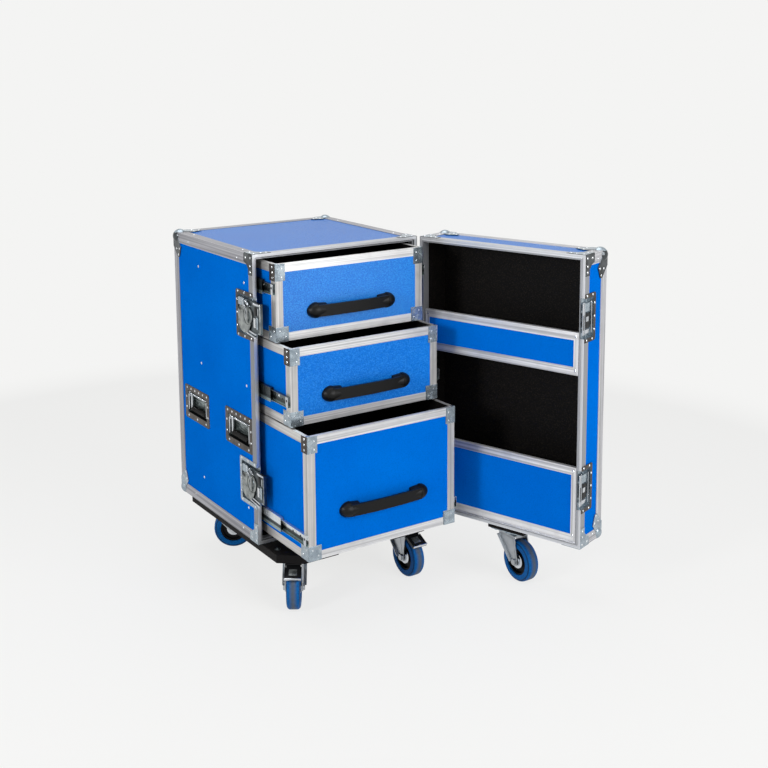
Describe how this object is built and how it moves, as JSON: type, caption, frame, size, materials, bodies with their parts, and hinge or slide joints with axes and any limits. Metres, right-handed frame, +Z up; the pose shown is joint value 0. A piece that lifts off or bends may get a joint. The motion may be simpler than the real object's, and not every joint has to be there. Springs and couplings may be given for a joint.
{
  "type": "drawer flight case",
  "caption": "Tall wheeled flight case with full-depth drawers, a deep hinged door with storage bins, recessed handles, butterfly latches and swivel casters.",
  "frame": {"origin": "on the floor under the middle of the cabinet", "axes": "+X to the right as one faces the drawers, +Y to the back, +Z up"},
  "size_m": [0.8738, 1.0824, 1.0375],
  "materials": {
    "blue_laminate": "plywood faced with fine-textured blue laminate",
    "aluminium_profile": "satin anodised extrusion",
    "bright_plate": "bright plated pressed steel",
    "zinc_steel": "bright zinc-plated pressed steel",
    "black_board": "black-stained board",
    "black_plastic": "black moulded plastic and strap",
    "wheel_rubber": "blue elastic tyre on a dark rim",
    "black_pedal": "black painted steel"
  },
  "bodies": {
    "cabinet": {"left_panel": "blue_laminate", "right_panel": "blue_laminate", "back_panel": "blue_laminate", "top_panel": "blue_laminate", "bottom_panel": "blue_laminate", "case_profiles": "aluminium_profile", "opening_frame": "aluminium_profile", "case_corners": "bright_plate", "slide_battens": "black_board", "slide_outer": "zinc_steel", "handle_dishes": "zinc_steel", "latch_dishes": "zinc_steel", "hinge_leaves": "zinc_steel", "base_board": "black_board", "caster_plates": "zinc_steel"},
    "door": {"door_panels": "blue_laminate", "door_profiles": "aluminium_profile", "door_frame": "aluminium_profile", "door_corners": "bright_plate", "bin_panels": "blue_laminate", "bin_trims": "aluminium_profile", "strike_dishes": "zinc_steel", "door_hinge_leaves": "zinc_steel", "door_caster_board": "black_board", "door_caster_plate": "zinc_steel"},
    "top_drawer": {"drawer_high_box": "blue_laminate", "drawer_high_trim": "aluminium_profile", "drawer_high_handle": "black_plastic", "slide_inner_high": "zinc_steel"},
    "top_slide": {"slide_middle_high": "zinc_steel"},
    "middle_drawer": {"drawer_mid_box": "blue_laminate", "drawer_mid_trim": "aluminium_profile", "drawer_mid_handle": "black_plastic", "slide_inner_mid": "zinc_steel"},
    "middle_slide": {"slide_middle_mid": "zinc_steel"},
    "bottom_drawer": {"drawer_low_box": "blue_laminate", "drawer_low_trim": "aluminium_profile", "drawer_low_handle": "black_plastic", "slide_inner_low": "zinc_steel"},
    "bottom_slide": {"slide_middle_low": "zinc_steel"},
    "upper_latch_knob": {"latch_knob_high": "zinc_steel"},
    "upper_latch_hook": {"latch_hook_high": "zinc_steel"},
    "lower_latch_knob": {"latch_knob_low": "zinc_steel"},
    "lower_latch_hook": {"latch_hook_low": "zinc_steel"},
    "left_front_bail": {"bail_left_front": "zinc_steel"},
    "left_rear_bail": {"bail_left_rear": "zinc_steel"},
    "right_front_bail": {"bail_right_front": "zinc_steel"},
    "right_rear_bail": {"bail_right_rear": "zinc_steel"},
    "front_left_fork": {"fork_front_left": "zinc_steel"},
    "front_left_wheel": {"wheel_front_left": "wheel_rubber"},
    "front_left_pedal": {"pedal_front_left": "black_pedal"},
    "front_right_fork": {"fork_front_right": "zinc_steel"},
    "front_right_wheel": {"wheel_front_right": "wheel_rubber"},
    "front_right_pedal": {"pedal_front_right": "black_pedal"},
    "rear_left_fork": {"fork_rear_left": "zinc_steel"},
    "rear_left_wheel": {"wheel_rear_left": "wheel_rubber"},
    "rear_right_fork": {"fork_rear_right": "zinc_steel"},
    "rear_right_wheel": {"wheel_rear_right": "wheel_rubber"},
    "door_fork": {"fork_door": "zinc_steel"},
    "door_wheel": {"wheel_door": "wheel_rubber"}
  },
  "joints": [
    {"name": "door_hinge", "type": "hinge", "parent": "cabinet", "child": "door", "pos_m": [0.287, -0.269, 0.6045], "axis": [0, 0, 1], "range_deg": [-18, 41.5]},
    {"name": "top_drawer_slide", "type": "slide", "parent": "cabinet", "child": "top_drawer", "axis": [0, -1, 0], "range_m": [-0.112, 0.338]},
    {"name": "top_slide_middle", "type": "slide", "parent": "cabinet", "child": "top_slide", "axis": [0, -1, 0], "range_m": [-0.056, 0.169]},
    {"name": "middle_drawer_slide", "type": "slide", "parent": "cabinet", "child": "middle_drawer", "axis": [0, -1, 0], "range_m": [-0.187, 0.263]},
    {"name": "middle_slide_middle", "type": "slide", "parent": "cabinet", "child": "middle_slide", "axis": [0, -1, 0], "range_m": [-0.0935, 0.1315]},
    {"name": "bottom_drawer_slide", "type": "slide", "parent": "cabinet", "child": "bottom_drawer", "axis": [0, -1, 0], "range_m": [-0.274, 0.176]},
    {"name": "bottom_slide_middle", "type": "slide", "parent": "cabinet", "child": "bottom_slide", "axis": [0, -1, 0], "range_m": [-0.137, 0.088]},
    {"name": "upper_latch_draw", "type": "slide", "parent": "cabinet", "child": "upper_latch_hook", "axis": [0, 1, 0], "range_m": [0, 0.009]},
    {"name": "upper_latch_turn", "type": "hinge", "parent": "cabinet", "child": "upper_latch_knob", "pos_m": [-0.28, -0.231, 0.8505], "axis": [1, 0, 0], "range_deg": [0, 180]},
    {"name": "lower_latch_draw", "type": "slide", "parent": "cabinet", "child": "lower_latch_hook", "axis": [0, 1, 0], "range_m": [0, 0.009]},
    {"name": "lower_latch_turn", "type": "hinge", "parent": "cabinet", "child": "lower_latch_knob", "pos_m": [-0.28, -0.231, 0.3535], "axis": [1, 0, 0], "range_deg": [0, 180]},
    {"name": "left_front_bail_lift", "type": "hinge", "parent": "cabinet", "child": "left_front_bail", "pos_m": [-0.2705, -0.155, 0.5185], "axis": [0, 1, 0], "range_deg": [0, 90], "stiffness_Nm_per_rad": 0.25, "springref_deg": -20.05},
    {"name": "left_rear_bail_lift", "type": "hinge", "parent": "cabinet", "child": "left_rear_bail", "pos_m": [-0.2705, 0.13, 0.5185], "axis": [0, 1, 0], "range_deg": [0, 90], "stiffness_Nm_per_rad": 0.25, "springref_deg": -20.05},
    {"name": "right_front_bail_lift", "type": "hinge", "parent": "cabinet", "child": "right_front_bail", "pos_m": [0.2705, -0.155, 0.5185], "axis": [0, -1, 0], "range_deg": [0, 90], "stiffness_Nm_per_rad": 0.25, "springref_deg": -20.05},
    {"name": "right_rear_bail_lift", "type": "hinge", "parent": "cabinet", "child": "right_rear_bail", "pos_m": [0.2705, 0.13, 0.5185], "axis": [0, -1, 0], "range_deg": [0, 90], "stiffness_Nm_per_rad": 0.25, "springref_deg": -20.05},
    {"name": "front_left_swivel", "type": "hinge", "parent": "cabinet", "child": "front_left_fork", "pos_m": [-0.188, -0.31, 0.142], "axis": [0, 0, 1], "continuous": true},
    {"name": "front_left_roll", "type": "hinge", "parent": "front_left_fork", "child": "front_left_wheel", "pos_m": [-0.2087, -0.34187, 0.0625], "axis": [0.8387, -0.5446, 0], "continuous": true},
    {"name": "front_left_brake", "type": "hinge", "parent": "front_left_fork", "child": "front_left_pedal", "pos_m": [-0.21523, -0.35193, 0.136], "axis": [0.8387, -0.5446, 0], "range_deg": [0, 8]},
    {"name": "front_right_swivel", "type": "hinge", "parent": "cabinet", "child": "front_right_fork", "pos_m": [0.188, -0.31, 0.142], "axis": [0, 0, 1], "continuous": true},
    {"name": "front_right_roll", "type": "hinge", "parent": "front_right_fork", "child": "front_right_wheel", "pos_m": [0.188, -0.348, 0.0625], "axis": [1, 0, 0], "continuous": true},
    {"name": "front_right_brake", "type": "hinge", "parent": "front_right_fork", "child": "front_right_pedal", "pos_m": [0.188, -0.36, 0.136], "axis": [1, 0, 0], "range_deg": [0, 8]},
    {"name": "rear_left_swivel", "type": "hinge", "parent": "cabinet", "child": "rear_left_fork", "pos_m": [-0.188, 0.168, 0.142], "axis": [0, 0, 1], "continuous": true},
    {"name": "rear_left_roll", "type": "hinge", "parent": "rear_left_fork", "child": "rear_left_wheel", "pos_m": [-0.15445, 0.15016, 0.0625], "axis": [0.4695, 0.8829, 0], "continuous": true},
    {"name": "rear_right_swivel", "type": "hinge", "parent": "cabinet", "child": "rear_right_fork", "pos_m": [0.188, 0.168, 0.142], "axis": [0, 0, 1], "continuous": true},
    {"name": "rear_right_roll", "type": "hinge", "parent": "rear_right_fork", "child": "rear_right_wheel", "pos_m": [0.19784, 0.13129, 0.0625], "axis": [0.9659, 0.2588, 0], "continuous": true},
    {"name": "door_swivel", "type": "hinge", "parent": "door", "child": "door_fork", "pos_m": [0.44921, -0.53002, 0.142], "axis": [0, 0, 1], "continuous": true},
    {"name": "door_roll", "type": "hinge", "parent": "door_fork", "child": "door_wheel", "pos_m": [0.44921, -0.56802, 0.0625], "axis": [1, 0, 0], "continuous": true}
  ],
  "couplings": [
    {"joint": "top_slide_middle", "follows": "top_drawer_slide", "ratio": 0.5},
    {"joint": "middle_slide_middle", "follows": "middle_drawer_slide", "ratio": 0.5},
    {"joint": "bottom_slide_middle", "follows": "bottom_drawer_slide", "ratio": 0.5},
    {"joint": "upper_latch_turn", "follows": "upper_latch_draw", "rad_per_m": 349},
    {"joint": "lower_latch_turn", "follows": "lower_latch_draw", "rad_per_m": 349}
  ]
}
